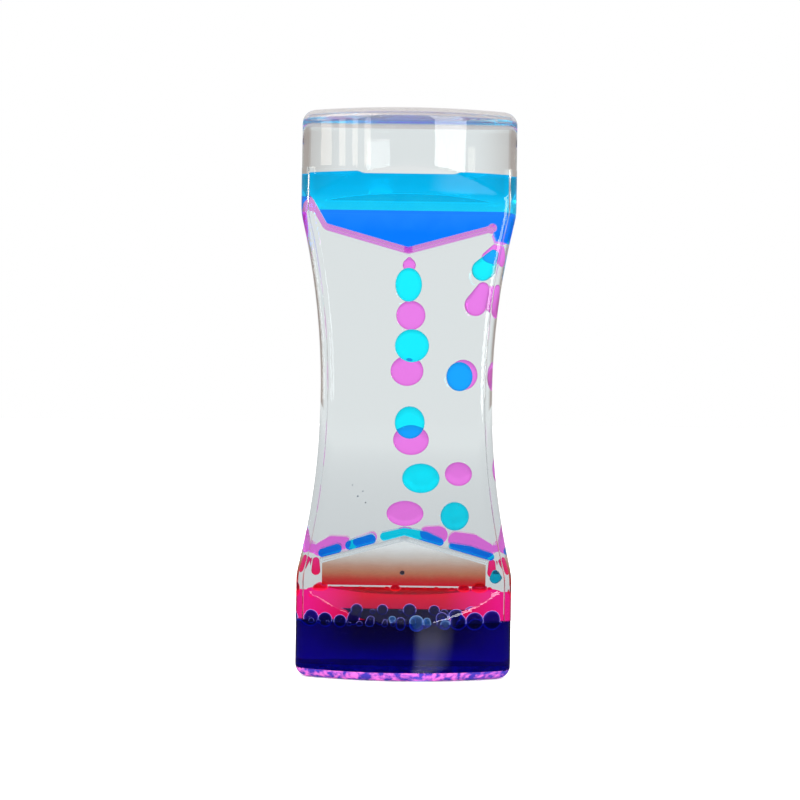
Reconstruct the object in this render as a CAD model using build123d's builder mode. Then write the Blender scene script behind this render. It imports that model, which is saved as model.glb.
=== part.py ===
from build123d import *
import math
import os

# Hourglass housing, in millimetres. It stands on z = 0, with its front towards -Y.
body_width = 51.5
body_depth = 30.0
body_height = 135.5
bow_radius = 55.0  # plan radius of the bowed front and back of each end
corner_radius = 4.0  # upright corners of each end
rim_radius = 3.2  # edge round the top and bottom faces
end_height = 24.75  # straight sides of each end, up to the shoulder
shoulder_radius = 15.0  # softens the shoulder between straight side and waist
waist_width = 41.0
waist_depth = 20.0  # from the front window to the back one
waist_edge_radius = 3.0
crease_height = 14.05  # where the bowed front starts to slope in to the window
slope_rise = 6.75  # height of that slope
crease_radius = 1.2  # softens the crease at the foot of the slope
window_bend = 5.0  # bend from the slope into the window

# Walls and joins
wall = 2.2
floor_edge_radius = 0.6
divider_thickness = 1.5
rebate_ledge = 1.1  # how far the divider's edge stays inside the outline
join_gap = 0.05  # cement line round the divider, the funnels and the plugs

# Bent funnel strips
strip_thickness = 1.2
strip_bend = 1.6
funnel_drop = 8.6  # from the shoulder down to the funnel's vertex
funnel_angle = 15.5
funnel_gap = 3.55  # from the open end, and from the foot of the flange, to the wall
flange_angle = 60.0
flange_length = 9.0
lip_radius = 1.0  # bead along the open end
drip_hole = 2.0

# Filler plugs
plug_shank = 3.0
plug_head = 5.0
plug_head_depth = 1.0
plug_recess = 0.2
plug_setback = 7.0  # from the seam to the plug's centre

# Liquids
film = 0.1  # clear oil between a pool and the wall
drop_clearance = 0.3
drop_round = 2.0
wall_film = 0.4  # between a wall and a drop that slides down it
cyan_level_rise = 9.6  # upper levels, above the shoulder
magenta_level_rise = 1.4
overflow_dip = 2.8  # how far the upper pools sag past the open end of the funnel
cyan_low_level = 13.45
magenta_low_level = 19.75
foam_float = 0.2  # share of a bead's radius that its centre floats above the pool

# Foam beads on the lower pools: share of the way across, share of the way to the front, radius
cyan_beads = [
    (-0.993, 0.21, 2.0),
    (-0.828, 0.69, 1.7),
    (-0.665, 0.91, 1.5),
    (-0.508, 0.04, 1.4),
    (-0.226, 0.03, 1.3),
    (0.069, 0.04, 1.6),
    (0.334, 0.05, 1.3),
    (0.419, 0.88, 1.5),
    (0.585, 0.81, 1.9),
    (0.768, 0.67, 2.1),
    (0.965, 0.34, 2.3),
]
magenta_beads = [(-0.93, 0.3, 1.8), (-0.09, 0.1, 1.3), (0.665, 0.15, 1.5), (0.86, 0.55, 2.0)]

# Puddles on the lower funnels: each a run of share of the funnel's reach, radius
cyan_runs = [
    [(-0.975, 1.0), (-0.8, 1.1)],
    [(-0.65, 1.1), (-0.4, 1.2)],
    [(-0.24, 1.0), (0.0, 0.9), (0.25, 1.2), (0.425, 0.9)],
    [(0.565, 0.7), (0.775, 1.0), (1.03, 0.9)],
]
magenta_runs = [
    [(-1.03, 1.5), (-0.875, 2.0), (-0.72, 1.5)],
    [(-0.57, 1.0), (-0.39, 1.2)],
    [(0.27, 1.6), (0.42, 2.1)],
    [(0.63, 2.0), (0.825, 2.3), (1.0, 1.8)],
]

# Drops held between window and divider: share of the fall, x, width, height
cyan_discs = [
    (0.112, 0.2, 6.4, 8.1),
    (0.328, 1.2, 8.2, 7.9),
    (0.600, 0.9, 7.2, 7.8),
    (0.797, 3.75, 9.0, 7.1),
]
magenta_discs = [
    (0.216, 0.85, 7.1, 7.1),
    (0.416, 0.1, 8.0, 7.3),
    (0.664, 1.3, 8.7, 7.3),
    (0.928, 0.1, 9.0, 6.1),
]

# The same beside the right wall: share of the fall, distance from the wall, width, height
cyan_side_discs = [(0.930, 8.7, 6.8, 6.8), (0.435, 5.7, 6.3, 7.0)]
magenta_side_discs = [(0.784, 6.4, 6.6, 5.8), (0.4275, 4.6, 6.9, 7.4)]

# Tear drops sliding down the right wall: share of the fall, radius, rise to the tip, tip radius
cyan_tear = (0.056, 2.6, 4.2, 0.8)
magenta_tear = (0.175, 2.7, 4.1, 1.5)
overflow_tear = (0.004, 1.6, 2.7, 0.6)
nozzle_tear = (0.035, 1.6, 1.4, 0.6)  # hangs under the drip hole
nozzle_tear_x = 0.3
gutter_tear = (1.3, 1.2, 0.8)  # below the right end of the roof: radius, rise, tip radius
gutter_tear_drop = 3.85  # from the end of the roof down to its middle

# Magenta below its roof: two drops running off the ends, and a cloud of the finest droplets
runoff_tear = (1.1, 2.4, 0.85)  # radius, rise to the tip, tip radius
runoff_offset = 1.4  # from the end of the roof out to their middle
runoff_drop = 3.2  # from the end of the roof down to their middle
mist_rise = 1.4  # from the magenta lower pool up to the foot of the cloud
mist_setback = 0.2  # from the end of the roof in to the side of the cloud
mist_gap = 0.3  # from the underside of the roof down to the cloud

half_width = body_width / 2
half_depth = body_depth / 2
middle = body_height / 2
upper_shoulder = body_height - end_height
window = waist_depth / 2
recess = half_depth - window
side_bow = half_depth - bow_radius + math.sqrt(bow_radius**2 - half_width**2)
waist_rise = middle - end_height
waist_dip = (body_width - waist_width) / 2
waist_radius = (waist_rise**2 + waist_dip**2) / (2 * waist_dip)
slope_run = math.hypot(recess, slope_rise)
shoulder_turn = math.asin(waist_rise / waist_radius)
block_height = end_height - shoulder_radius * math.tan(shoulder_turn / 2)
seam = divider_thickness / 2
chamber_depth = window - wall - seam
chamber_middle = seam + chamber_depth / 2
drop_depth = chamber_depth - 2 * drop_clearance
funnel_reach = half_width - wall - funnel_gap
funnel_slope = math.tan(math.radians(funnel_angle))
vertex_height = upper_shoulder - funnel_drop
strip_top = strip_thickness / 2 / math.cos(math.radians(funnel_angle))
roof_height = body_height - vertex_height + strip_top
fall_top = vertex_height - strip_top
fall = fall_top - roof_height

vertex = (0, vertex_height)
open_end = (funnel_reach, vertex_height + funnel_reach * funnel_slope)
bend = (-funnel_reach, open_end[1])
flange_tip = (
    bend[0] - flange_length * math.cos(math.radians(flange_angle)),
    bend[1] + flange_length * math.sin(math.radians(flange_angle)),
)
front_layer = Plane.XZ.offset(seam + drop_clearance)
rear_layer = Plane.XZ.offset(-seam - drop_clearance - drop_depth)

os.makedirs("parts", exist_ok=True)


def save(piece, name):
    piece.part.label = name
    export_step(piece.part, f"parts/{name}.step")


def inner_half_width(height):
    """Half the clear width of a chamber at a height within the waist."""
    reach = waist_radius - math.sqrt(waist_radius**2 - (height - middle) ** 2)
    return waist_width / 2 + reach - wall


def inner_front(x, height):
    """Clear depth of the front chamber from the seam plane, at a place in the lower end."""
    bowed = half_depth - bow_radius + math.sqrt(bow_radius**2 - x**2) - wall
    sloped = half_depth - (wall * slope_run + (height - crease_height) * recess) / slope_rise
    return max(window - wall, min(bowed, sloped))


def front_outline(inset):
    """Hourglass outline seen from the front, drawn in by an inset."""
    with BuildSketch(Plane.XZ) as outline:
        with BuildLine():
            for side in (-1, 1):
                Line((side * half_width, 0), (side * half_width, end_height))
                ThreePointArc(
                    (side * half_width, end_height),
                    (side * waist_width / 2, middle),
                    (side * half_width, upper_shoulder),
                )
                Line((side * half_width, upper_shoulder), (side * half_width, body_height))
            for height in (0, body_height):
                Line((-half_width, height), (half_width, height))
        make_face()
        levels = outline.vertices().group_by(Axis.Y)
        fillet(levels[1] + levels[2], radius=shoulder_radius)
        levels = outline.vertices().group_by(Axis.Y)
        fillet(levels[0] + levels[-1], radius=rim_radius)
        if inset > 0:
            offset(amount=-inset, kind=Kind.INTERSECTION, mode=Mode.REPLACE)
    return outline.sketch


def waist_block(inset):
    """Flat windowed waist with rounded upright edges, running a little into both ends."""
    with BuildPart() as block:
        extrude(front_outline(inset), amount=window - inset, both=True)
        faces = block.faces().sort_by(Axis.Y)
        edges = faces[0].edges() + faces[-1].edges()
        fillet(edges.filter_by(Axis.X, reverse=True), radius=waist_edge_radius - inset)
        split(bisect_by=Plane.XY.offset(crease_height), keep=Keep.TOP)
        split(bisect_by=Plane.XY.offset(body_height - crease_height), keep=Keep.BOTTOM)
    return block.part


def end_block(inset, edge_radius):
    """Lower end: bowed front and back, with slopes that lead in to the windows."""
    ridge = crease_height + slope_rise * half_depth / recess
    with BuildPart() as block:
        with BuildSketch(Plane.XY.offset(inset)) as plan:
            with BuildLine():
                for side in (-1, 1):
                    ThreePointArc(
                        (-half_width, side * side_bow),
                        (0, side * half_depth),
                        (half_width, side * side_bow),
                    )
                    Line((side * half_width, -side_bow), (side * half_width, side_bow))
            make_face()
            fillet(plan.vertices(), radius=corner_radius)
            if inset > 0:
                offset(amount=-inset, kind=Kind.INTERSECTION, mode=Mode.REPLACE)
        extrude(amount=block_height - inset)
        with BuildSketch(Plane.YZ):
            with BuildLine():
                Polyline(
                    (-half_depth, 0),
                    (-half_depth, crease_height),
                    (0, ridge),
                    (half_depth, crease_height),
                    (half_depth, 0),
                    close=True,
                )
            make_face()
            if inset > 0:
                offset(amount=-inset, kind=Kind.INTERSECTION, mode=Mode.REPLACE)
        extrude(amount=body_width, both=True, mode=Mode.INTERSECT)
        if inset == 0:
            bows = block.faces().filter_by(GeomType.CYLINDER).sort_by(SortBy.AREA)[-2:]
            fillet([bow.edges().sort_by(Axis.Z)[-1] for bow in bows], radius=crease_radius)
        fillet(block.faces().sort_by(Axis.Z)[0].edges(), radius=edge_radius)
    return block.part


def hourglass(inset, edge_radius):
    """The whole body, or with an inset the space inside its wall."""
    waist = waist_block(inset)
    lower_end = end_block(inset, edge_radius)
    with BuildPart() as body:
        add(waist)
        add(lower_end)
        mirror(lower_end, about=Plane.XY.offset(middle))
        if inset == 0:
            level_edges = body.edges().filter_by(Axis.X)
            feet = level_edges.filter_by_position(Axis.Z, crease_height, body_height - crease_height)
            fillet(feet, radius=window_bend)
    return body.part


housing = hourglass(0, rim_radius)
cavity = hourglass(wall, floor_edge_radius)
plug_seats = Locations(Plane((0, -plug_setback, 0), z_dir=(0, 0, -1)))

with BuildPart() as front_shell:
    add(housing)
    add(cavity, mode=Mode.SUBTRACT)
    split(bisect_by=Plane.XZ, keep=Keep.TOP)
    extrude(front_outline(rebate_ledge), amount=seam, mode=Mode.SUBTRACT)
    with plug_seats:
        CounterBoreHole(plug_shank / 2, plug_head / 2, plug_recess + plug_head_depth, wall)
save(front_shell, "front_shell")

with BuildPart() as rear_shell:
    mirror(front_shell.part, about=Plane.XZ)
save(rear_shell, "rear_shell")

with BuildPart() as divider_plate:
    extrude(front_outline(rebate_ledge + join_gap), amount=seam, both=True)
save(divider_plate, "divider_plate")


def chamber(gap):
    """Front chamber, drawn in from its walls by a gap."""
    with BuildPart() as room:
        add(hourglass(wall + gap, floor_edge_radius))
        split(bisect_by=Plane.XZ.offset(seam + gap), keep=Keep.TOP)
    return room.part


def strip_section(points, lip, gap):
    """Section of a bent strip along its middle line, grown by a gap all round."""
    with BuildSketch(Plane.XZ) as section:
        with BuildLine():
            FilletPolyline(*points, radius=strip_bend)
        trace(line_width=strip_thickness + 2 * gap)
        if lip > 0:
            with Locations(points[0]):
                Circle(lip + gap)
    return section.sketch


def funnel(points, lip):
    """Bent strip in the top of the front chamber, with its drip hole."""
    with BuildPart() as strip:
        extrude(strip_section(points, lip, 0), amount=half_depth)
        add(fitted_room, mode=Mode.INTERSECT)
        with Locations((0, -chamber_middle, vertex_height)):
            Hole(drip_hole / 2)
    return strip.part


def upper_pool(level):
    """Liquid held above the front funnel, sagging a little past its open end."""
    sag = open_end[1] - overflow_dip
    with BuildPart() as pool:
        with BuildSketch(Plane.XZ):
            with BuildLine():
                Polyline(
                    (-half_width, body_height),
                    (-half_width, flange_tip[1]),
                    flange_tip,
                    bend,
                    vertex,
                    open_end,
                    (open_end[0] + lip_radius, sag),
                    (half_width, sag),
                    (half_width, body_height),
                    close=True,
                )
            make_face()
        extrude(amount=half_depth)
        extrude(strip_section(closed_line, lip_radius, film), amount=half_depth, mode=Mode.SUBTRACT)
        add(liquid_room, mode=Mode.INTERSECT)
        split(bisect_by=Plane.XY.offset(level), keep=Keep.BOTTOM)
    return pool.part


def bead_spot(level, across, forward, radius):
    """Centre of a bead that floats on a lower pool."""
    height = level + foam_float * radius
    x = across * (half_width - wall - film - radius)
    nearest = seam + film + radius
    furthest = inner_front(x, height) - film - radius
    return x, -nearest - forward * (furthest - nearest), height


def lower_pool(level, beads):
    """Liquid collected in the bottom of the front chamber, dented by floating beads."""
    with BuildPart() as pool:
        add(liquid_room)
        split(bisect_by=Plane.XY.offset(level), keep=Keep.BOTTOM)
        for across, forward, radius in beads:
            with Locations(bead_spot(level, across, forward, radius)):
                Sphere(radius + film, mode=Mode.SUBTRACT)
    return pool.part


def foam(level, beads):
    """Beads floating on the front lower pool."""
    with BuildPart() as layer:
        for across, forward, radius in beads:
            with Locations(bead_spot(level, across, forward, radius)):
                Sphere(radius)
    return layer.part


def puddles(runs):
    """Flattened drops lying on the roof that the front lower funnel makes."""
    with BuildPart() as spread:
        for run in runs:
            with BuildSketch(front_layer):
                for share, radius in run:
                    x = share * funnel_reach
                    with Locations((x, roof_height - abs(x) * funnel_slope + film + radius)):
                        Circle(radius)
                make_hull()
            extrude(amount=drop_depth)
        with BuildSketch(front_layer):
            eave = funnel_reach + film
            with BuildLine():
                Polyline(
                    (-eave, crease_height),
                    (-eave, roof_height + film - eave * funnel_slope),
                    (0, roof_height + film),
                    (eave, roof_height + film - eave * funnel_slope),
                    (eave, crease_height),
                    close=True,
                )
            make_face()
        extrude(amount=drop_depth, mode=Mode.SUBTRACT)
        add(liquid_room, mode=Mode.INTERSECT)
    return spread.part


def mist(level, beads):
    """Cloud of fine droplets that fills the front chamber under the roof, clear of floating beads."""
    half = funnel_reach - mist_setback
    ridge = roof_height - 2 * strip_top - mist_gap
    eave = ridge - half * funnel_slope
    with BuildPart() as cloud:
        with BuildSketch(front_layer):
            with BuildLine():
                Polyline(
                    (-half, level + mist_rise),
                    (-half, eave),
                    (0, ridge),
                    (half, eave),
                    (half, level + mist_rise),
                    close=True,
                )
            make_face()
        extrude(amount=drop_depth)
        for across, forward, radius in beads:
            with Locations(bead_spot(level, across, forward, radius)):
                Sphere(radius + film, mode=Mode.SUBTRACT)
    return cloud.part


def disc_drop(layer, share, x, width, height):
    """Drop pressed flat between a window and the divider."""
    tightest = min(width, height) ** 2 / (2 * max(width, height))
    with BuildPart() as drop:
        with BuildSketch(layer):
            with Locations((x, fall_top - share * fall)):
                Ellipse(width / 2, height / 2)
        extrude(amount=drop_depth)
        rims = drop.edges().filter_by(Axis.Y, reverse=True)
        fillet(rims, radius=min(drop_round, 0.8 * tightest))
    return drop


def side_disc(layer, share, from_wall, width, height):
    """Flat drop beside the right wall of a chamber."""
    x = inner_half_width(fall_top - share * fall) - from_wall
    return disc_drop(layer, share, x, width, height)


def tear_drop(y, bulb, radius, tip, tip_radius):
    """Round drop drawn out to a tip."""
    lean = (tip[0] - bulb[0], 0, tip[1] - bulb[1])
    length = math.hypot(lean[0], lean[2])
    start = (bulb[0], y, bulb[1])
    with BuildPart() as drop:
        with BuildSketch(Plane(start, x_dir=(lean[2], 0, -lean[0]), z_dir=(0, -1, 0))):
            Circle(radius)
            with Locations((0, length)):
                Circle(tip_radius)
            make_hull()
            left_half = (Align.MAX, Align.CENTER)
            Rectangle(2 * radius, 4 * (length + radius), align=left_half, mode=Mode.SUBTRACT)
        revolve(axis=Axis(start, lean))
    return drop


def wall_tear(y, share, radius, rise, tip_radius):
    """Tear drop that slides down the right wall of a chamber."""
    low = fall_top - share * fall
    high = low + rise
    bulb = (inner_half_width(low) - wall_film - radius, low)
    tip = (inner_half_width(high) - wall_film - tip_radius, high)
    return tear_drop(y, bulb, radius, tip, tip_radius)


closed_line = [open_end, vertex, bend, flange_tip]
open_line = [open_end, vertex, bend]
fitted_room = chamber(join_gap)
liquid_room = chamber(film)
closed_funnel = funnel(closed_line, lip_radius)
open_funnel = funnel(open_line, 0)

with BuildPart() as front_upper_funnel:
    add(closed_funnel)
save(front_upper_funnel, "front_upper_funnel")

with BuildPart() as rear_upper_funnel:
    mirror(closed_funnel, about=Plane.XZ)
save(rear_upper_funnel, "rear_upper_funnel")

with BuildPart() as front_lower_funnel:
    mirror(open_funnel, about=Plane.XY.offset(middle))
save(front_lower_funnel, "front_lower_funnel")

with BuildPart() as rear_lower_funnel:
    mirror(front_lower_funnel.part, about=Plane.XZ)
save(rear_lower_funnel, "rear_lower_funnel")

with BuildPart() as front_filler_plug:
    upright = (Align.CENTER, Align.CENTER, Align.MIN)
    with Locations((0, -plug_setback, plug_recess)):
        Cylinder(plug_head / 2 - join_gap, plug_head_depth, align=upright)
        Cylinder(plug_shank / 2 - join_gap, wall - plug_recess, align=upright)
save(front_filler_plug, "front_filler_plug")

with BuildPart() as rear_filler_plug:
    mirror(front_filler_plug.part, about=Plane.XZ)
save(rear_filler_plug, "rear_filler_plug")

with BuildPart() as cyan_upper_pool:
    add(upper_pool(upper_shoulder + cyan_level_rise))
save(cyan_upper_pool, "cyan_upper_pool")

with BuildPart() as magenta_upper_pool:
    mirror(upper_pool(upper_shoulder + magenta_level_rise), about=Plane.XZ)
save(magenta_upper_pool, "magenta_upper_pool")

with BuildPart() as cyan_lower_pool:
    add(lower_pool(cyan_low_level, cyan_beads))
save(cyan_lower_pool, "cyan_lower_pool")

with BuildPart() as magenta_lower_pool:
    mirror(lower_pool(magenta_low_level, magenta_beads), about=Plane.XZ)
save(magenta_lower_pool, "magenta_lower_pool")

with BuildPart() as cyan_foam:
    add(foam(cyan_low_level, cyan_beads))
save(cyan_foam, "cyan_foam")

with BuildPart() as magenta_foam:
    mirror(foam(magenta_low_level, magenta_beads), about=Plane.XZ)
save(magenta_foam, "magenta_foam")

with BuildPart() as cyan_puddles:
    add(puddles(cyan_runs))
save(cyan_puddles, "cyan_puddles")

with BuildPart() as magenta_puddles:
    mirror(puddles(magenta_runs), about=Plane.XZ)
save(magenta_puddles, "magenta_puddles")

with BuildPart() as magenta_mist:
    mirror(mist(magenta_low_level, magenta_beads), about=Plane.XZ)
save(magenta_mist, "magenta_mist")

runoff_radius, runoff_rise, runoff_tip = runoff_tear
runoff_low = body_height - open_end[1] - runoff_drop
with BuildPart() as magenta_runoff:
    for side in (-1, 1):
        x = side * (funnel_reach + runoff_offset)
        bulb = (x, runoff_low)
        add(tear_drop(chamber_middle, bulb, runoff_radius, (x, runoff_low + runoff_rise), runoff_tip).part)
save(magenta_runoff, "magenta_runoff")

for number, disc in enumerate(cyan_discs, 1):
    save(disc_drop(front_layer, *disc), f"cyan_drop_{number}")

for number, disc in enumerate(cyan_side_discs, 1 + len(cyan_discs)):
    save(side_disc(front_layer, *disc), f"cyan_drop_{number}")

for number, disc in enumerate(magenta_discs, 1):
    save(disc_drop(rear_layer, *disc), f"magenta_drop_{number}")

for number, disc in enumerate(magenta_side_discs, 1 + len(magenta_discs)):
    save(side_disc(rear_layer, *disc), f"magenta_drop_{number}")

save(wall_tear(-chamber_middle, *cyan_tear), "cyan_drop_7")
save(wall_tear(chamber_middle, *magenta_tear), "magenta_drop_7")
save(wall_tear(chamber_middle, *overflow_tear), "magenta_drop_8")

nozzle_share, nozzle_radius, nozzle_rise, nozzle_tip = nozzle_tear
nozzle_bulb = (nozzle_tear_x, fall_top - nozzle_share * fall)
nozzle_end = (nozzle_tear_x, nozzle_bulb[1] + nozzle_rise)
save(tear_drop(chamber_middle, nozzle_bulb, nozzle_radius, nozzle_end, nozzle_tip), "magenta_drop_9")

gutter_radius, gutter_rise, gutter_tip = gutter_tear
gutter_bulb = (half_width - wall - wall_film - gutter_radius, body_height - open_end[1] - gutter_tear_drop)
gutter_end = (gutter_bulb[0], gutter_bulb[1] + gutter_rise)
save(tear_drop(-chamber_middle, gutter_bulb, gutter_radius, gutter_end, gutter_tip), "cyan_drop_8")
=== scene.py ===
import math
import random

import bmesh
import bpy
from mathutils import Matrix, Vector
from mathutils.bvhtree import BVHTree


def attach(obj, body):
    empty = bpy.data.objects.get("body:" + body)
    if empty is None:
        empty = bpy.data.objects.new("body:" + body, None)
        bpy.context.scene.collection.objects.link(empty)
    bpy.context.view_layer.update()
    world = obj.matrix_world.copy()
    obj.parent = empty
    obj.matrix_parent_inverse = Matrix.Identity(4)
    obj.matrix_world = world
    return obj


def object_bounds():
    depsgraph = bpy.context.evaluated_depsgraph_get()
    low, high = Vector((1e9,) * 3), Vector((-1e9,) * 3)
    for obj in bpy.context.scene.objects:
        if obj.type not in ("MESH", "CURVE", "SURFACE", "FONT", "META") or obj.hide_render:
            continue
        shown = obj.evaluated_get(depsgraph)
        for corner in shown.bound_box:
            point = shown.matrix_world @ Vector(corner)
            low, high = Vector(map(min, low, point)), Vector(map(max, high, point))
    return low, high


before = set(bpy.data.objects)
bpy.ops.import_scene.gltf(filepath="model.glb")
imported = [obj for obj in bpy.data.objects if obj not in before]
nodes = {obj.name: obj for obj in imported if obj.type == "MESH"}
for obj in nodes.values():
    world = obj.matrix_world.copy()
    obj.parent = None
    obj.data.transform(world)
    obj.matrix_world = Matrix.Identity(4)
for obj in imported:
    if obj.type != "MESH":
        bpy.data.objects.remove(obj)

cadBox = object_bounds()
mm = 0.001


def toLinear(hexColour):
    channels = [int(hexColour[i:i + 2], 16) / 255 for i in (1, 3, 5)]
    return [c / 12.92 if c <= 0.04045 else ((c + 0.055) / 1.055) ** 2.4 for c in channels] + [1.0]


def addNode(tree, kind, inputs=None, **values):
    node = tree.nodes.new(kind)
    for name, value in values.items():
        setattr(node, name, value)
    for name, value in (inputs or {}).items():
        if isinstance(value, bpy.types.NodeSocket):
            tree.links.new(value, node.inputs[name])
        else:
            node.inputs[name].default_value = value
    return node


def newMaterial(name):
    material = bpy.data.materials.new(name)
    material.use_nodes = True
    tree = material.node_tree
    tree.nodes.clear()
    shader = addNode(tree, "ShaderNodeBsdfPrincipled")
    output = addNode(tree, "ShaderNodeOutputMaterial")
    tree.links.new(shader.outputs[0], output.inputs["Surface"])
    return material, tree, shader


def setInputs(shader, **values):
    for name, value in values.items():
        shader.inputs[name.replace("_", " ")].default_value = value


# Clear acrylic, injection moulded and polished: faint flow waves and finger smudges on the skin
acrylicSettings = {
    "tint": "#f0f3f4",
    "gloss": "#b0b0b0",
    "ior": 1.49,
    "waveSize": 14 * mm,
    "waveDepth": 0.004 * mm,
    "smudgeSize": 9 * mm,
    "smudgeDetail": 5.0,
    "smudgeRoughness": 0.02,
}


def makeSkin(settings):
    material, tree, shader = newMaterial("acrylicMouldedPolished")
    place = addNode(tree, "ShaderNodeTexCoord").outputs["Object"]
    waves = addNode(
        tree, "ShaderNodeTexNoise", {"Vector": place, "Scale": 1 / settings["waveSize"]}
    )
    bump = addNode(
        tree, "ShaderNodeBump",
        {"Height": waves.outputs["Fac"], "Distance": settings["waveDepth"]},
    )
    smudge = addNode(
        tree, "ShaderNodeTexNoise",
        {"Vector": place, "Scale": 1 / settings["smudgeSize"], "Detail": settings["smudgeDetail"]},
    )
    rough = addNode(
        tree, "ShaderNodeMapRange",
        {"Value": smudge.outputs["Fac"], "To Min": 0.0, "To Max": settings["smudgeRoughness"]},
    )
    tree.links.new(rough.outputs[0], shader.inputs["Roughness"])
    tree.links.new(bump.outputs[0], shader.inputs["Normal"])
    setInputs(
        shader,
        Base_Color=toLinear(settings["tint"]),
        Specular_Tint=toLinear(settings["gloss"]),
        IOR=settings["ior"],
        Transmission_Weight=1.0,
    )
    return material


# Underside, acrylic sanded matt after moulding. Its pink is painted light, the light that comes
# down through the magenta, and its blue speckle is the blue pool above painted in; it glows
# faintly in both, a painted glow. The grit is drawn coarser than real sanding, so that it shows.
baseSettings = {
    "colour": "#d060c0",
    "colourShare": 0.62,
    "deep": "#2c1c9c",
    "deepShare": 0.42,
    "gritSize": 1.6 * mm,
    "gritDetail": 3.0,
    "gritDepth": 0.02 * mm,
    "roughness": 0.75,
    "glow": 0.16,
}


def makeSandedBase(settings):
    material, tree, shader = newMaterial("acrylicSandedBase")
    place = addNode(tree, "ShaderNodeTexCoord").outputs["Object"]
    grit = addNode(
        tree, "ShaderNodeTexNoise",
        {"Vector": place, "Scale": 1 / settings["gritSize"], "Detail": settings["gritDetail"]},
    )
    ramp = addNode(tree, "ShaderNodeValToRGB", {"Fac": grit.outputs["Fac"]})
    stops = ramp.color_ramp.elements
    stops[0].position = settings["deepShare"]
    stops[0].color = toLinear(settings["deep"])
    stops[1].position = settings["colourShare"]
    stops[1].color = toLinear(settings["colour"])
    bump = addNode(
        tree, "ShaderNodeBump",
        {"Height": grit.outputs["Fac"], "Distance": settings["gritDepth"]},
    )
    # Painted light: the pink and blue are the base colour and are also emitted, a painted glow
    tree.links.new(ramp.outputs[0], shader.inputs["Base Color"])
    tree.links.new(ramp.outputs[0], shader.inputs["Emission Color"])
    tree.links.new(bump.outputs[0], shader.inputs["Normal"])
    setInputs(shader, Roughness=settings["roughness"], Emission_Strength=settings["glow"])
    return material


# Top end, acrylic sanded finer than the base and over clear oil: a satin grey that lets soft
# light through, and glows faintly in that grey, a painted glow. The grit is drawn coarser than
# real sanding here too.
topSettings = {
    "colour": "#d2caca",
    "deep": "#b8aeac",
    "gritSize": 0.8 * mm,
    "gritDetail": 3.0,
    "clear": 0.88,
    "roughness": 0.2,
    "glow": 0.12,
    "ior": acrylicSettings["ior"],
}


def makeSandedTop(settings):
    material, tree, shader = newMaterial("acrylicSandedTop")
    place = addNode(tree, "ShaderNodeTexCoord").outputs["Object"]
    grit = addNode(
        tree, "ShaderNodeTexNoise",
        {"Vector": place, "Scale": 1 / settings["gritSize"], "Detail": settings["gritDetail"]},
    )
    satin = addNode(
        tree, "ShaderNodeMixRGB",
        {
            "Fac": grit.outputs["Fac"],
            "Color1": toLinear(settings["deep"]),
            "Color2": toLinear(settings["colour"]),
        },
    )
    tree.links.new(satin.outputs[0], shader.inputs["Base Color"])
    # Painted glow: the satin grey is also emitted
    tree.links.new(satin.outputs[0], shader.inputs["Emission Color"])
    setInputs(
        shader,
        Roughness=settings["roughness"],
        IOR=settings["ior"],
        Transmission_Weight=settings["clear"],
        Emission_Strength=settings["glow"],
    )
    return material


# Acrylic wetted by clear oil: the two indices nearly match, so only a faint line and a little haze
# show. Each ior is that of one side of the face against the other.
wettedSettings = {
    "acrylicWettedByOil": {"tint": "#ffffff", "ior": 1.006},
    "acrylicExtrudedSheet": {"tint": "#fbfdfd", "ior": 1.02},
    "acrylicHeatBentStripMagentaLit": {"tint": "#f6a4f2", "ior": 1.003},
    "acrylicHeatBentStrip": {"tint": "#fcfdfe", "ior": 1.003},
    "acrylicHeatBentRoof": {"tint": "#f2f4f6", "ior": 1.012},
}
hazeSettings = {"size": 6 * mm, "detail": 4.0, "roughness": 0.03}


def makeWetted(name, settings, haze):
    material, tree, shader = newMaterial(name)
    place = addNode(tree, "ShaderNodeTexCoord").outputs["Object"]
    film = addNode(
        tree, "ShaderNodeTexNoise",
        {"Vector": place, "Scale": 1 / haze["size"], "Detail": haze["detail"]},
    )
    rough = addNode(
        tree, "ShaderNodeMapRange",
        {"Value": film.outputs["Fac"], "To Min": 0.0, "To Max": haze["roughness"]},
    )
    tree.links.new(rough.outputs[0], shader.inputs["Roughness"])
    setInputs(
        shader, Base_Color=toLinear(settings["tint"]), IOR=settings["ior"], Transmission_Weight=1.0
    )
    return material


# Welded, cemented and flooded faces, where the index is the same on both sides and nothing shows
def makeWeld():
    material, _, shader = newMaterial("acrylicSolventWeld")
    setInputs(shader, Base_Color=toLinear("#ffffff"), Alpha=0.0)
    return material


# Dyed water sealed under oil: its colour changes with height and towards the sides, in faint
# swirls. Its rim is painted: darker for a painted edge shade, paler for a painted highlight. It
# glows faintly in its own colour, a painted glow.
dyeSettings = {
    "swirlSize": 5 * mm,
    "swirlDetail": 3.0,
    "swirlTwist": 0.8,
    "sideStart": 10 * mm,
    "sideEnd": 21 * mm,
    "rimBlend": 0.5,
}


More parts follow.
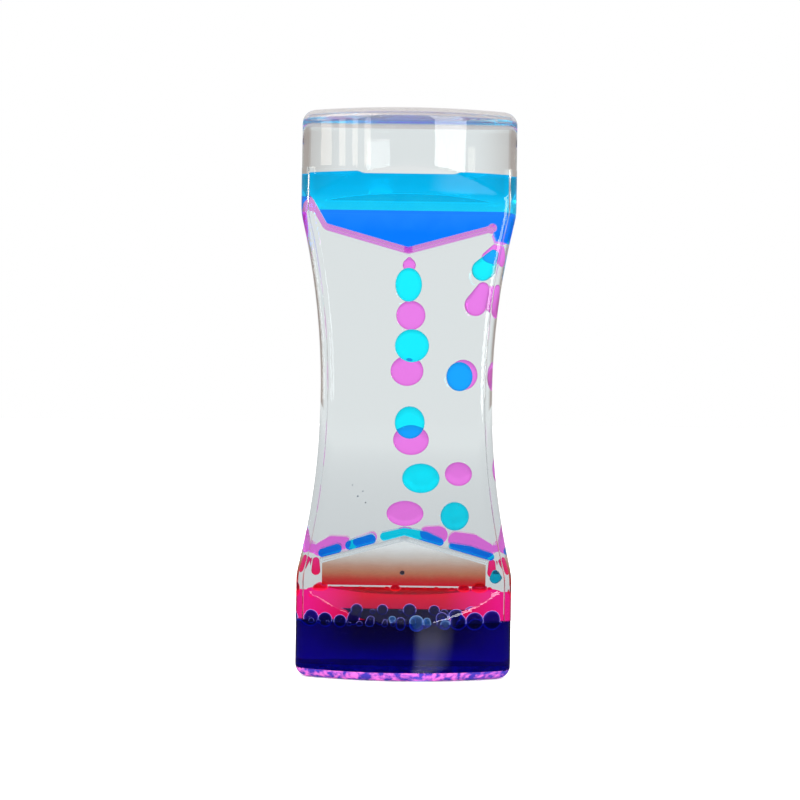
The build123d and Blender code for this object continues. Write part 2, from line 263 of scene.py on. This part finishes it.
def makeLiquid(
    name, low, high, colours, glow,
    side=None, rim=None, rimGlow=0.0, rimPower=2.0, ior=1.03, swirl=0.12,
):
    material, tree, shader = newMaterial(name)
    place = addNode(tree, "ShaderNodeTexCoord").outputs["Object"]
    axes = addNode(tree, "ShaderNodeSeparateXYZ", {"Vector": place})
    noise = addNode(
        tree, "ShaderNodeTexNoise",
        {
            "Vector": place,
            "Scale": 1 / dyeSettings["swirlSize"],
            "Detail": dyeSettings["swirlDetail"],
            "Distortion": dyeSettings["swirlTwist"],
        },
    )
    drift = addNode(
        tree, "ShaderNodeMapRange",
        {
            "Value": noise.outputs["Fac"],
            "To Min": -swirl * (high - low),
            "To Max": swirl * (high - low),
        },
    )
    mixed = addNode(
        tree, "ShaderNodeMath", {0: axes.outputs["Z"], 1: drift.outputs[0]}, operation="ADD"
    )
    share = addNode(
        tree, "ShaderNodeMapRange",
        {"Value": mixed.outputs[0], "From Min": low, "From Max": high},
    )
    ramp = addNode(tree, "ShaderNodeValToRGB", {"Fac": share.outputs[0]})
    stops = ramp.color_ramp.elements
    while len(stops) < len(colours):
        stops.new(0.5)
    for i, colour in enumerate(colours):
        stops[i].position = i / (len(colours) - 1)
        stops[i].color = toLinear(colour)
    dye = ramp.outputs[0]
    if side:
        reach = addNode(tree, "ShaderNodeMath", {0: axes.outputs["X"]}, operation="ABSOLUTE")
        edge = addNode(
            tree, "ShaderNodeMapRange",
            {
                "Value": reach.outputs[0],
                "From Min": dyeSettings["sideStart"],
                "From Max": dyeSettings["sideEnd"],
            },
        )
        blend = addNode(
            tree, "ShaderNodeMixRGB",
            {"Fac": edge.outputs[0], "Color1": dye, "Color2": toLinear(side)},
        )
        dye = blend.outputs[0]
    # Painted rim: the rim colour is mixed in towards the outline, and the glow rises to rimGlow
    # there
    if rim:
        facing = addNode(tree, "ShaderNodeLayerWeight", {"Blend": dyeSettings["rimBlend"]})
        sharp = addNode(
            tree, "ShaderNodeMath", {0: facing.outputs["Facing"], 1: rimPower}, operation="POWER"
        )
        skirt = addNode(
            tree, "ShaderNodeMixRGB",
            {"Fac": sharp.outputs[0], "Color1": dye, "Color2": toLinear(rim)},
        )
        dye = skirt.outputs[0]
        shine = addNode(
            tree, "ShaderNodeMapRange",
            {"Value": sharp.outputs[0], "To Min": glow, "To Max": max(glow, rimGlow)},
        )
        tree.links.new(shine.outputs[0], shader.inputs["Emission Strength"])
    # Painted glow: the liquid emits its own colour at strength glow
    tree.links.new(dye, shader.inputs["Base Color"])
    tree.links.new(dye, shader.inputs["Emission Color"])
    setInputs(shader, IOR=ior, Transmission_Weight=1.0, Roughness=0.0, Emission_Strength=glow)
    return material


def fill(node, material):
    mesh = nodes[node].data
    mesh.materials.clear()
    mesh.materials.append(material)


# Housing shells: skin outside, wetted walls inside, welded rims, sanded ends.
# A tilt is the upward share of a face's normal, and flatTilt that of a face square to an axis.
shellSettings = {
    "rimDepth": 0.9 * mm,
    "seatRadius": 2.7 * mm,
    "seatOffset": 7 * mm,
    "endHeight": 3 * mm,
    "undersideHeight": 0.1 * mm,
    "flatTilt": 0.9,
    "floodedTilt": 0.5,
    "sandedTilt": -0.3,
    "topTilt": 0.25,
    "lift": 0.02 * mm,
}


def shellFinish(polygon, covered, settings):
    centre = polygon.center
    normal = polygon.normal
    low = centre.z < settings["endHeight"]
    high = centre.z > cadBox[1][2] - settings["endHeight"]
    seatDistance = math.hypot(centre.x, abs(centre.y) - settings["seatOffset"])
    flatDown = abs(normal.z) >= settings["flatTilt"]
    underside = flatDown and centre.z <= settings["undersideHeight"]
    if seatDistance < settings["seatRadius"] and low and not underside:
        return "weld"
    faceOn = abs(normal.y) > settings["flatTilt"]
    if abs(centre.y) < settings["rimDepth"] and (faceOn or covered):
        return "weld"
    if covered:
        return "weld" if low and normal.z > settings["floodedTilt"] else "wetted"
    if low and normal.z < settings["sandedTilt"]:
        return "base"
    if high and normal.z > settings["topTilt"]:
        return "top"
    return "skin"


def dressShells(settings, finishes):
    shells = [nodes["front_shell"], nodes["rear_shell"]]
    points = []
    faces = []
    for shell in shells:
        start = len(points)
        points += [v.co.copy() for v in shell.data.vertices]
        faces += [[start + i for i in p.vertices] for p in shell.data.polygons]
    tree = BVHTree.FromPolygons(points, faces)
    places = {name: i for i, name in enumerate(finishes)}
    for shell in shells:
        mesh = shell.data
        mesh.materials.clear()
        for material in finishes.values():
            mesh.materials.append(material)
        for polygon in mesh.polygons:
            start = polygon.center + polygon.normal * settings["lift"]
            hit = tree.ray_cast(start, polygon.normal)[0]
            polygon.material_index = places[shellFinish(polygon, hit is not None, settings)]


def dressDivider(settings, sheet, weld):
    mesh = nodes["divider_plate"].data
    mesh.materials.clear()
    mesh.materials.append(sheet)
    mesh.materials.append(weld)
    for polygon in mesh.polygons:
        polygon.material_index = 0 if abs(polygon.normal.y) > settings["flatTilt"] else 1


def dressPlug(node, settings, weld, base):
    mesh = nodes[node].data
    mesh.materials.clear()
    mesh.materials.append(weld)
    mesh.materials.append(base)
    for polygon in mesh.polygons:
        polygon.material_index = 1 if polygon.normal.z < -settings["flatTilt"] else 0


wetted = {
    name: makeWetted(name, settings, hazeSettings) for name, settings in wettedSettings.items()
}
weld = makeWeld()
sandedBasePaintedLight = makeSandedBase(baseSettings)
shellFinishes = {
    "skin": makeSkin(acrylicSettings),
    "wetted": wetted["acrylicWettedByOil"],
    "weld": weld,
    "base": sandedBasePaintedLight,
    "top": makeSandedTop(topSettings),
}
dressShells(shellSettings, shellFinishes)
dressDivider(shellSettings, wetted["acrylicExtrudedSheet"], weld)
print("shells dressed")

stripFinishes = {
    "front_upper_funnel": "acrylicHeatBentStripMagentaLit",
    "rear_upper_funnel": "acrylicHeatBentStrip",
    "front_lower_funnel": "acrylicHeatBentRoof",
    "rear_lower_funnel": "acrylicHeatBentRoof",
}
for node, finish in stripFinishes.items():
    fill(node, wetted[finish])
for node in ("front_filler_plug", "rear_filler_plug"):
    dressPlug(node, shellSettings, weld, sandedBasePaintedLight)
print("clear pieces dressed")

# Liquids, front chamber cyan and rear chamber magenta. Colours run from low to high. Each glow is
# a painted glow.
liquidSettings = {
    "cyan_upper_pool": {
        "low": 101.7 * mm, "high": 120.7 * mm, "glow": 0.1, "ior": 1.01,
        "colours": ["#08b4ff", "#06bcff", "#22d4fc", "#08c4fa", "#00b6ee"],
    },
    "magenta_upper_pool": {
        "low": 101.7 * mm, "high": 112.7 * mm, "glow": 0.06, "ior": 1.01,
        "colours": ["#f0a0ff", "#f080ff"],
    },
    # Painted shade: the navy, deeper than the cyan dye and darker towards the top, stands in for
    # the dark ground behind, seen through both lower pools
    "cyan_lower_pool": {
        "low": 2 * mm, "high": 13.7 * mm, "glow": 0.0, "ior": 1.0,
        "colours": ["#0c30f0", "#0620b0"],
    },
    # Painted shade: the red and the dark band over the magenta dye stand in for the shaded table
    # behind, seen through the pool; the sides stay pinker
    "magenta_lower_pool": {
        "low": 2 * mm, "high": 19.7 * mm, "glow": 0.14, "ior": 1.0,
        "colours": ["#b01098", "#a00854", "#e0103c", "#f01434"], "side": "#ff2090",
    },
    # Painted edge shade on the puddles: their rims are darker
    "cyan_puddles": {
        "low": 26.7 * mm, "high": 34.7 * mm, "glow": 0.05, "ior": 1.06,
        "colours": ["#08b8f0", "#10e0fc"], "rim": "#0a58a0",
    },
    "magenta_puddles": {
        "low": 25.7 * mm, "high": 29.7 * mm, "glow": 0.06, "ior": 1.06,
        "colours": ["#f02878", "#ec68d8", "#f27ce8"], "rim": "#c030a0",
    },
    # Painted shade: a sheet under the roof whose ramp from red through brown and beige to white
    # stands in for the shaded table and its horizon, seen through the body
    "magenta_mist": {
        "low": 21.15 * mm, "high": 30.45 * mm, "glow": 0.06, "ior": 1.0, "swirl": 0.05,
        "colours": ["#e01c38", "#d04840", "#cc8468", "#d0a08c", "#dcc8bc", "#e8e2de", "#fcfcfc"],
    },
    # Painted edge shade on the runoff: its rim is darker
    "magenta_runoff": {
        "low": 23.5 * mm, "high": 28 * mm, "glow": 0.12, "ior": 1.03,
        "colours": ["#f0205c", "#f0388c"], "rim": "#b01458",
    },
    # Painted highlight on the foam: its pale rims glow
    "cyan_foam": {
        "low": 10.7 * mm, "high": 15.7 * mm, "glow": 0.03, "ior": 1.12,
        "colours": ["#0e1ca0", "#1428c0"], "rim": "#c4c8ff", "rimGlow": 2.2, "rimPower": 4.0,
    },
    "magenta_foam": {
        "low": 17.7 * mm, "high": 21.7 * mm, "glow": 0.05, "ior": 1.12,
        "colours": ["#d81840", "#f03070"], "rim": "#ffd0e8", "rimGlow": 0.7, "rimPower": 3.0,
    },
}
# Drops: a darker rim, a painted edge shade, and a painted glow that lifts them over the oil around
# them
dropSettings = {
    "cyan_drop": {
        "low": 20.7 * mm, "high": 101.7 * mm, "glow": 0.14, "ior": 1.06,
        "colours": ["#0c98b8", "#18e8fc", "#1ceeff", "#1ef2ff"], "rim": "#0a7c98",
    },
    "magenta_drop": {
        "low": 20.7 * mm, "high": 101.7 * mm, "glow": 0.1, "ior": 1.06,
        "colours": ["#f480e8", "#f888f2"], "rim": "#a83ca0",
    },
}
for node, settings in liquidSettings.items():
    fill(node, makeLiquid("water" + node.title().replace("_", "") + "Dyed", **settings))
for kind, settings in dropSettings.items():
    material = makeLiquid("water" + kind.title().replace("_", "") + "Dyed", **settings)
    for node in nodes:
        if node.startswith(kind):
            fill(node, material)
print("liquids dressed")


# Beads too fine for solids of their own: slightly uneven balls, each group one piece
beadSettings = {"stretch": [(0.95, 1.1), (0.95, 1.1), (0.85, 1.0)], "subdivisions": 3, "ior": 1.12}


def newPiece(name, mesh, material):
    piece = bpy.data.objects.new(name, mesh)
    bpy.context.scene.collection.objects.link(piece)
    mesh.materials.append(material)
    for polygon in mesh.polygons:
        polygon.use_smooth = True
    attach(piece, "housing")


def addBead(cluster, centre, radius, rng):
    stretch = Matrix.Diagonal([rng.uniform(*limit) for limit in beadSettings["stretch"]] + [1])
    bmesh.ops.create_icosphere(
        cluster,
        subdivisions=beadSettings["subdivisions"],
        radius=radius,
        matrix=Matrix.Translation(centre) @ stretch,
    )


def finishBeads(name, cluster, dye):
    mesh = bpy.data.meshes.new(name)
    cluster.to_mesh(mesh)
    cluster.free()
    material = "water" + name[0].upper() + name[1:] + "Dyed"
    newPiece(name, mesh, makeLiquid(material, ior=beadSettings["ior"], **dye))


# Foam that has not yet merged: small beads crowded along the walls at the top of each lower pool.
# Their pale glowing rims are a painted highlight, and they glow faintly, a painted glow.
# A row is its place from the divider to the wall as a share, its count, and its radii.
foamSettings = {
    "cyanFoamFine": {
        "level": 13.45 * mm, "facing": -1, "seed": 11, "slot": "cyan_liquid", "cad": "cyan_foam",
        "rows": [(0.96, 24, 0.5 * mm, 1.3 * mm), (0.1, 16, 0.5 * mm, 1.1 * mm)],
        "dye": {
            "low": 11.45 * mm, "high": 15.45 * mm, "colours": ["#0e1ca0", "#1428c0"],
            "glow": 0.03, "rim": "#c4c8ff", "rimGlow": 2.2, "rimPower": 4.0,
        },
    },
    "magentaFoamFine": {
        "level": 19.75 * mm, "facing": 1, "seed": 5, "slot": "magenta_liquid",
        "cad": "magenta_foam",
        "rows": [(0.9, 14, 0.4 * mm, 0.9 * mm)],
        "dye": {
            "low": 17.75 * mm, "high": 21.75 * mm, "colours": ["#d81840", "#f03070"],
            "glow": 0.05, "rim": "#ffd0e8", "rimGlow": 0.7, "rimPower": 3.0,
        },
    },
}
# How a row is filled: smaller beads on the left, and gaps that keep beads off each other
crowdSettings = {
    "leftShare": 0.45,
    "leftSize": 0.75,
    "rightSize": 1.1,
    "jitter": (0.2, 0.8),
    "bob": (-0.5, 0.25),
    "clearance": 0.2 * mm,
    "reach": 1.15,
    "spacing": 1.1,
}
# Inside of the lower end, as the solids have it
chamberSettings = {
    "bowRadius": 55 * mm,
    "frontDepth": 15 * mm,
    "wall": 2.2 * mm,
    "divider": 0.75 * mm,
    "halfWidth": 23.3 * mm,
    "creaseHeight": 14.05 * mm,
    "slope": 5 / 6.75,
    "window": 10 * mm,
}


def chamberDepth(x, z, settings):
    radius = settings["bowRadius"]
    bowed = settings["frontDepth"] - radius + math.sqrt(radius ** 2 - x ** 2)
    sloped = settings["frontDepth"] - max(0, z - settings["creaseHeight"]) * settings["slope"]
    return max(settings["window"], min(bowed, sloped)) - settings["wall"]


def makeFoam(name, settings, crowd, chamber):
    rng = random.Random(settings["seed"])
    cadMesh = nodes[settings["cad"]].data
    tree = BVHTree.FromPolygons(
        [v.co for v in cadMesh.vertices], [p.vertices for p in cadMesh.polygons]
    )
    clearance = crowd["clearance"]
    cluster = bmesh.new()
    placed = []
    for forward, count, small, large in settings["rows"]:
        for i in range(count):
            onLeft = i < count * crowd["leftShare"]
            radius = rng.uniform(small, large) * crowd["leftSize" if onLeft else "rightSize"]
            across = 2 * (i + rng.uniform(*crowd["jitter"])) / count - 1
            x = across * (chamber["halfWidth"] - radius - clearance)
            z = settings["level"] + rng.uniform(*crowd["bob"]) * radius
            near = chamber["divider"] + radius + clearance
            far = chamberDepth(x, z + radius, chamber) - crowd["reach"] * radius - clearance
            centre = Vector((x, settings["facing"] * (near + forward * (far - near)), z))
            spot, normal, _, gap = tree.find_nearest(centre)
            if gap < crowd["reach"] * radius or (centre - spot).dot(normal) < 0:
                continue
            apart = [(centre - other).length / (radius + size) for other, size in placed]
            if any(share < crowd["spacing"] for share in apart):
                continue
            placed.append((centre, radius))
            addBead(cluster, centre, radius, rng)
    finishBeads(name, cluster, settings["dye"])
    print(name, len(placed), "beads")


for name, settings in foamSettings.items():
    makeFoam(name, settings, crowdSettings, chamberSettings)

# Pale beads in the middle of the foam, with a painted glow and a painted rim highlight, a stray
# one under the roof, and specks too small to fall, with a faint painted glow and a pale painted
# rim. A bead is its x, y, z and radius in millimetres.
strayBeads = {
    "cyanFreshBeads": {
        "slot": "cyan_liquid", "seed": 3,
        "beads": [
            (3.1, -11.2, 13.35, 1.7),
            (-2.6, -11.4, 14.05, 0.8),
            (5.6, -11.6, 13.65, 0.9),
            (9.7, -10.6, 13.35, 1.2),
        ],
        "dye": {
            "low": 10 * mm, "high": 15 * mm, "colours": ["#1848b8", "#2890d8"],
            "glow": 0.12, "rim": "#c0ecff", "rimGlow": 0.8,
        },
    },
    "cyanStrayBeads": {
        "slot": "cyan_liquid", "seed": 3,
        "beads": [
            (-0.4, -4.0, 24.95, 0.62),
            (-11.3, -4.2, 43.15, 0.2),
            (-10.1, -3.6, 44.35, 0.16),
            (-12.6, -5.0, 45.85, 0.14),
            (-9.4, -4.6, 41.65, 0.17),
        ],
        "dye": {
            "low": 20 * mm, "high": 110 * mm, "colours": ["#40506c", "#4878a0"],
            "glow": 0.05, "rim": "#a8c0d0", "rimGlow": 0.1,
        },
    },
}


def makeStrays(name, settings):
    rng = random.Random(settings["seed"])
    cluster = bmesh.new()
    for x, y, z, radius in settings["beads"]:
        addBead(cluster, Vector((x, y, z)) * mm, radius * mm, rng)
    finishBeads(name, cluster, settings["dye"])


for name, settings in strayBeads.items():
    makeStrays(name, settings)
print("foam and strays placed")

# Studio: white sweep behind, dim room in front, warm grey flanks that draw the edges of the clear
# body. Places run from 0 straight in front to 1 straight behind.
worldSettings = {
    "front": "#5c5654",
    "between": [(0.5, "#d4d2d0"), (0.72, "#b4a8a2"), (0.93, "#b4a8a2")],
    "behind": "#f0f2f2",
    "behindPlace": 0.98,
    "above": "#ffffff",
    "aboveStart": 0.2,
    "aboveFull": 0.5,
    "background": "#ffffff",
}


def makeWorld(settings):
    world = bpy.data.worlds.new("studio")
    bpy.context.scene.world = world
    world.use_nodes = True
    tree = world.node_tree
    tree.nodes.clear()
    direction = addNode(tree, "ShaderNodeTexCoord").outputs["Generated"]
    parts = addNode(tree, "ShaderNodeSeparateXYZ", {"Vector": direction})
    share = addNode(
        tree, "ShaderNodeMapRange",
        {"Value": parts.outputs["Y"], "From Min": -1.0, "From Max": 1.0},
    )
    ramp = addNode(tree, "ShaderNodeValToRGB", {"Fac": share.outputs[0]})
    stops = ramp.color_ramp.elements
    stops[0].color = toLinear(settings["front"])
    stops[1].color = toLinear(settings["behind"])
    stops[1].position = settings["behindPlace"]
    for place, colour in settings["between"]:
        stops.new(place).color = toLinear(colour)
    rise = addNode(
        tree, "ShaderNodeMapRange",
        {
            "Value": parts.outputs["Z"],
            "From Min": settings["aboveStart"],
            "From Max": settings["aboveFull"],
        },
    )
    dome = addNode(
        tree, "ShaderNodeMixRGB",
        {"Fac": rise.outputs[0], "Color1": ramp.outputs[0], "Color2": toLinear(settings["above"])},
    )
    path = addNode(tree, "ShaderNodeLightPath")
    room = addNode(tree, "ShaderNodeBackground", {"Color": dome.outputs[0]})
    white = addNode(tree, "ShaderNodeBackground", {"Color": toLinear(settings["background"])})
    mix = addNode(
        tree, "ShaderNodeMixShader",
        {0: path.outputs["Is Camera Ray"], 1: room.outputs[0], 2: white.outputs[0]},
    )
    output = addNode(tree, "ShaderNodeOutputWorld")
    tree.links.new(mix.outputs[0], output.inputs["Surface"])


# Matt white paper sweep: plain white with a soft shadow to the eye, and an even pale grey through
# the clear body. Where the gloss mirrors it, it is painted dark, a painted shade for the table in
# front lying in shade, but for a wedge of painted glare to the front right, a painted reflection.
# A bearing is the distance to the right over the distance to the front.
floorSettings = {
    "size": 8,
    "height": -0.1 * mm,
    "paper": "#f4f4f4",
    "lift": "#b4b4b4",
    "through": "#d6d8da",
    "throughFar": worldSettings["behind"],
    "farStart": 0.1,
    "farFull": 2.0,
    "unlit": "#000000",
    # Painted shade and painted glare, for rays that mirror the floor
    "mirrored": "#484646",
    "glare": 16.0,
    "glareReach": 0.14,
    "glareFull": 0.07,
    "glareOnset": (0.1, 0.2),
    "glareFade": (0.6, 0.35),
    "patchSize": 12 * mm,
    "patchDetail": 2.0,
    "roughness": 0.9,
}


def makeFloor(settings):
    bpy.ops.mesh.primitive_plane_add(size=settings["size"], location=(0, 0, settings["height"]))
    floor = bpy.context.object
    floor.name = "floor"
    material, tree, shader = newMaterial("paperSweepMatt")
    path = addNode(tree, "ShaderNodeLightPath")
    through = path.outputs["Is Transmission Ray"]
    place = addNode(tree, "ShaderNodeTexCoord").outputs["Object"]
    spot = addNode(tree, "ShaderNodeSeparateXYZ", {"Vector": place})
    away = addNode(
        tree, "ShaderNodeMapRange",
        {
            "Value": spot.outputs["Y"],
            "From Min": settings["farStart"],
            "From Max": settings["farFull"],
        },
    )
    sweep = addNode(
        tree, "ShaderNodeMixRGB",
        {
            "Fac": away.outputs[0],
            "Color1": toLinear(settings["through"]),
            "Color2": toLinear(settings["throughFar"]),
        },
    )
    lift = addNode(
        tree, "ShaderNodeMixRGB",
        {"Fac": through, "Color1": toLinear(settings["lift"]), "Color2": sweep.outputs[0]},
    )
    tree.links.new(lift.outputs[0], shader.inputs["Emission Color"])
    # Rays that mirror the floor: painted shade, and the wedge of painted glare below
    mirrored = addNode(
        tree, "ShaderNodeMath", {0: path.outputs["Is Glossy Ray"], 1: through},
        operation="SUBTRACT", use_clamp=True,
    )
    forward = addNode(
        tree, "ShaderNodeMath", {0: spot.outputs["Y"], 1: -1.0}, operation="MULTIPLY"
    )
    bearing = addNode(
        tree, "ShaderNodeMath", {0: spot.outputs["X"], 1: forward.outputs[0]}, operation="DIVIDE"
    )
    limits = (
        (bearing, settings["glareOnset"]),
        (bearing, settings["glareFade"]),
        (forward, (settings["glareReach"], settings["glareFull"])),
    )
    shares = [
        addNode(
            tree, "ShaderNodeMapRange",
            {"Value": value.outputs[0], "From Min": nothing, "From Max": full},
        )
        for value, (nothing, full) in limits
    ]
    shares.append(addNode(
        tree, "ShaderNodeTexNoise",
        {"Scale": 1 / settings["patchSize"], "Detail": settings["patchDetail"]},
    ))
    glare = mirrored.outputs[0]
    for share in shares:
        product = addNode(
            tree, "ShaderNodeMath", {0: glare, 1: share.outputs[0]}, operation="MULTIPLY"
        )
        glare = product.outputs[0]
    seen = addNode(
        tree, "ShaderNodeMath", {0: path.outputs["Is Camera Ray"], 1: through}, operation="ADD"
    )
    shine = addNode(
        tree, "ShaderNodeMath", {0: glare, 1: settings["glare"], 2: seen.outputs[0]},
        operation="MULTIPLY_ADD",
    )
    tree.links.new(shine.outputs[0], shader.inputs["Emission Strength"])
    paper = addNode(
        tree, "ShaderNodeMixRGB",
        {
            "Fac": mirrored.outputs[0],
            "Color1": toLinear(settings["paper"]),
            "Color2": toLinear(settings["mirrored"]),
        },
    )
    dark = addNode(
        tree, "ShaderNodeMixRGB",
        {"Fac": through, "Color1": paper.outputs[0], "Color2": toLinear(settings["unlit"])},
    )
    tree.links.new(dark.outputs[0], shader.inputs["Base Color"])
    setInputs(shader, Roughness=settings["roughness"], Specular_IOR_Level=0.0)
    floor.data.materials.append(material)


# Right: the tall softbox. Left: one high up that draws the creases, and bars that stand as
# stripes in the bow. Azimuths are in degrees to the right of the front.
softboxSettings = {
    "softboxRight": {
        "azimuth": 22, "distance": 0.65, "height": 0.3, "aimHeight": 0.08,
        "width": 0.2, "tall": 0.5, "colour": "#ffffff", "radiance": 16.0,
    },
    "softboxLeft": {
        "azimuth": -38, "distance": 0.5, "height": 0.5, "aimHeight": 0.05,
        "width": 0.3, "tall": 0.4, "colour": "#fff0e0", "radiance": 9.0,
    },
}
barSettings = {
    "distance": 0.6, "height": 0.28, "aimHeight": 0.28, "tall": 0.15,
    "colour": "#fff0e0", "radiance": 9.0,
}
barBearings = [(-45.6, 0.063), (-36.6, 0.037), (-29.5, 0.032), (-22.6, 0.038)]  # azimuth, width
for number, (azimuth, width) in enumerate(barBearings, 1):
    softboxSettings[f"barLamp{number}"] = {**barSettings, "azimuth": azimuth, "width": width}


def makeSoftbox(name, settings):
    light = bpy.data.lights.new(name, "AREA")
    light.shape = "RECTANGLE"
    light.size = settings["width"]
    light.size_y = settings["tall"]
    light.energy = settings["radiance"] * math.pi * settings["width"] * settings["tall"]
    light.color = toLinear(settings["colour"])[:3]
    lamp = bpy.data.objects.new(name, light)
    bpy.context.scene.collection.objects.link(lamp)
    turn = math.radians(settings["azimuth"])
    away = settings["distance"]
    lamp.location = (away * math.sin(turn), -away * math.cos(turn), settings["height"])
    aim = Vector((0, 0, settings["aimHeight"]))
    lamp.rotation_euler = (aim - lamp.location).to_track_quat("-Z", "Y").to_euler()
    lamp.visible_camera = False


makeWorld(worldSettings)
makeFloor(floorSettings)
for name, settings in softboxSettings.items():
    makeSoftbox(name, settings)
print("studio built")

# Camera: level with the middle of the body, a little to its left, rolled as in the photograph
cameraSettings = {
    "height": 66.35 * mm,
    "distance": 395 * mm,
    "shiftLeft": 1.5 * mm,
    "roll": -0.8,
    "lens": 73,
    "nearest": 10 * mm,
    "bounces": 40,
}


def makeCamera(settings):
    data = bpy.data.cameras.new("camera")
    data.lens = settings["lens"]
    data.clip_start = settings["nearest"]
    camera = bpy.data.objects.new("camera", data)
    bpy.context.scene.collection.objects.link(camera)
    camera.location = (-settings["shiftLeft"], -settings["distance"], settings["height"])
    camera.rotation_euler = (math.pi / 2, math.radians(settings["roll"]), 0)
    bpy.context.scene.camera = camera


makeCamera(cameraSettings)
scene = bpy.context.scene
scene.view_settings.view_transform = "Standard"
scene.cycles.max_bounces = cameraSettings["bounces"]
scene.cycles.transmission_bounces = cameraSettings["bounces"]
scene.cycles.transparent_max_bounces = cameraSettings["bounces"]
print("camera placed")
